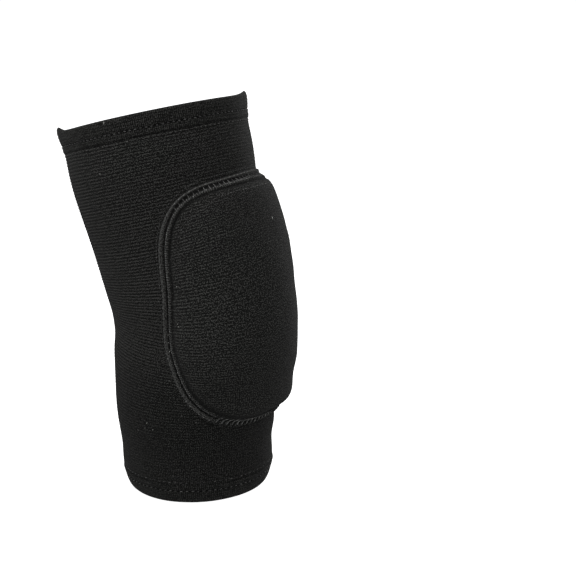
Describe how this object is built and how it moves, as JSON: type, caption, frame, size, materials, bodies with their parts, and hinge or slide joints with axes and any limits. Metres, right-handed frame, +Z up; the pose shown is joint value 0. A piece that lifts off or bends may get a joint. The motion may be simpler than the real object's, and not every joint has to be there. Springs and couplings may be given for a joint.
{
  "type": "knitted elbow pad",
  "caption": "Bent knitted sleeve for an arm, open at both ends, with turned hems and a thick foam patch sewn over the elbow.",
  "frame": {"origin": "on the middle line of the sleeve at half its length, inside the bend of the elbow, where an arm holds it", "axes": "+Z up the arm, the padded patch on the elbow faces -Y, X across; the part is the same on both sides of X"},
  "size_m": [0.1056, 0.1374, 0.2218],
  "materials": {
    "sleeve_knit": "matt ribbed black knit",
    "top_hem_knit": "matt black knit, turned in and sewn",
    "bottom_hem_knit": "matt black knit, turned in and sewn",
    "cover_knit": "matt ribbed black knit over foam",
    "foam": "soft dark foam, hidden",
    "seam_thread": "matt black overlock thread"
  },
  "bodies": {
    "root": {"sleeve": "sleeve_knit", "top_hem": "top_hem_knit", "bottom_hem": "bottom_hem_knit", "pad_cover": "cover_knit", "foam_pad": "foam", "pad_seam": "seam_thread"}
  },
  "joints": []
}
